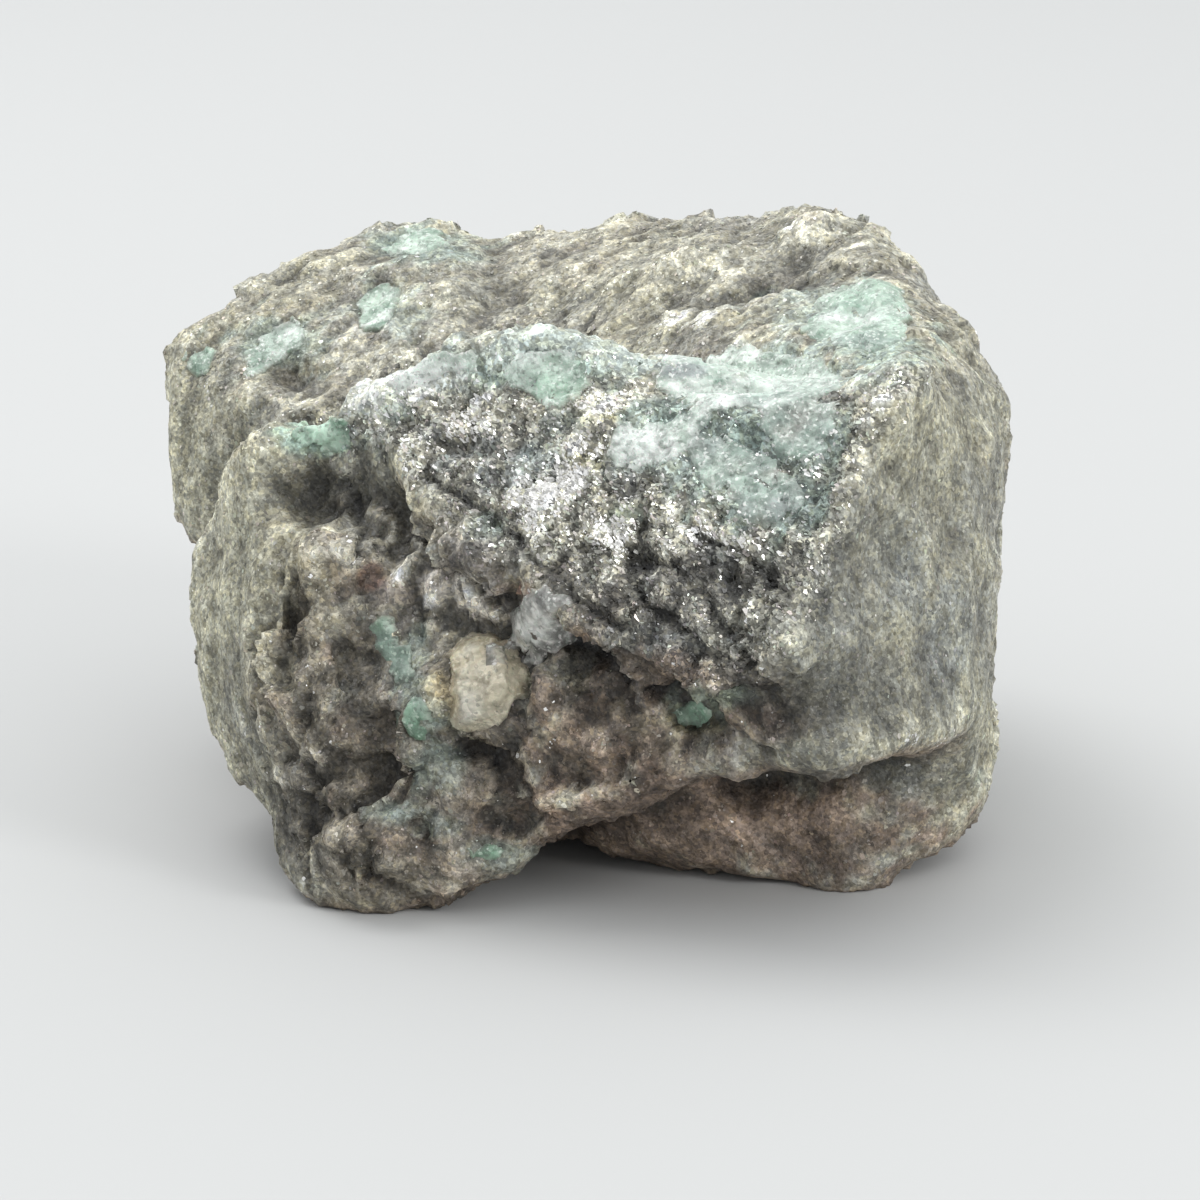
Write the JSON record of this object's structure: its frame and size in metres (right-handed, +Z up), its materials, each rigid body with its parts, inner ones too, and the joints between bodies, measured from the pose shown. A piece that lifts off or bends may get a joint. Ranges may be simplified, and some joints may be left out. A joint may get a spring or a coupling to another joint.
{
  "type": "emerald in matrix",
  "caption": "Broken chunk of glittering grey mica schist with flush green emerald crystals and blunt quartz grown in it, made to lie on its lowest bosses.",
  "frame": {"origin": "middle of the bounding box in X and Y, on the plane of the flats that it rests on", "axes": "+Z up as it rests, +X to the right of the glittering front slope, which faces -Y"},
  "size_m": [0.048, 0.0482, 0.0322],
  "materials": {
    "schist": "broken mica schist, glittering where it splits along its layers",
    "emerald": "vitreous, milky green",
    "emerald_pale": "vitreous, milky pale green to blue-green",
    "emerald_deep": "vitreous, deep green",
    "quartz_yellow": "vitreous, pale yellow, blunt broken faces",
    "quartz_grey": "vitreous, grey-white"
  },
  "bodies": {
    "root": {"schist_matrix": "schist", "emerald_main": "emerald_pale", "emerald_pale_centre": "emerald_pale", "emerald_slope": "emerald_pale", "emerald_crest_left": "emerald_pale", "emerald_back_pale": "emerald_pale", "emerald_upper_right": "emerald", "emerald_crest": "emerald", "emerald_back_bright": "emerald", "emerald_back_top": "emerald", "emerald_back_left": "emerald", "emerald_rear": "emerald", "emerald_rear_low": "emerald", "emerald_right_rear": "emerald", "emerald_left_corner": "emerald_deep", "emerald_low": "emerald_deep", "emerald_streak": "emerald_deep", "emerald_lobe": "emerald_deep", "emerald_under_ledge": "emerald_deep", "quartz_yellow": "quartz_yellow", "quartz_grey": "quartz_grey"}
  },
  "joints": []
}
